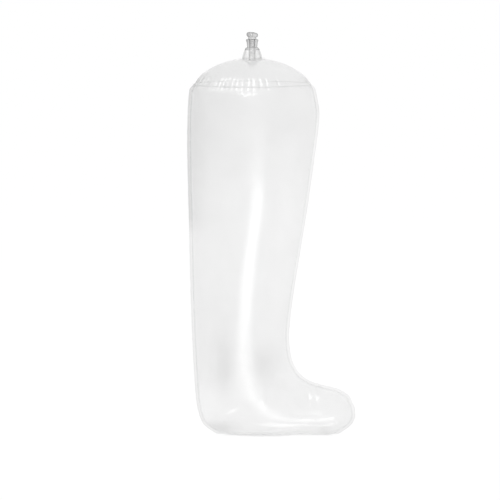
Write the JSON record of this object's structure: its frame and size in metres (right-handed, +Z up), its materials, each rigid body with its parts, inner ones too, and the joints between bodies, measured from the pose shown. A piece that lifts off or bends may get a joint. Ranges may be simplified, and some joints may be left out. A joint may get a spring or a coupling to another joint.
{
  "type": "inflatable boot shaper",
  "caption": "Inflatable clear film boot shaper: a blown-up leg and foot with welded seams, a domed cap and a push-in blow valve with stopper.",
  "frame": {"origin": "on the floor under the middle of the object's box", "axes": "+Z up the leg, +X towards the toe, +Y towards the left side of the boot; the picture looks along +Y"},
  "size_m": [0.128, 0.0946, 0.3083],
  "materials": {
    "clear_film": "clear blown-up soft vinyl film, glossy, faintly grey where seen edge on",
    "welded_film": "the same film heat-welded in two layers, slightly cloudy, glossy",
    "clear_moulding": "clear soft vinyl moulding with thick walls, glossy, greyer than the film"
  },
  "bodies": {
    "envelope": {"right_side_panel": "clear_film", "left_side_panel": "clear_film", "top_cap_panel": "clear_film", "back_seam_weld": "welded_film", "front_seam_weld": "welded_film", "sole_seam_weld": "welded_film", "cap_seam_weld": "welded_film", "valve_flange": "clear_moulding", "valve_cone": "clear_moulding"},
    "stem": {"valve_stem": "clear_moulding", "stopper_strap": "clear_moulding"},
    "flap": {"check_flap": "clear_moulding"},
    "plug": {"stopper": "clear_moulding"}
  },
  "joints": [
    {"name": "stem_push_in", "type": "slide", "parent": "envelope", "child": "stem", "axis": [0, 0, -1], "range_m": [0, 0.013], "deforming": ["valve_cone"]},
    {"name": "flap_swing", "type": "hinge", "parent": "stem", "child": "flap", "pos_m": [-0.01085, 0, 0.28606], "axis": [0, -1, 0], "range_deg": [0, 60], "stiffness_Nm_per_rad": 0.0002},
    {"name": "stopper_pull", "type": "slide", "parent": "stem", "child": "plug", "axis": [0, 0, 1], "range_m": [0, 0.01], "deforming": ["stopper_strap"]}
  ]
}
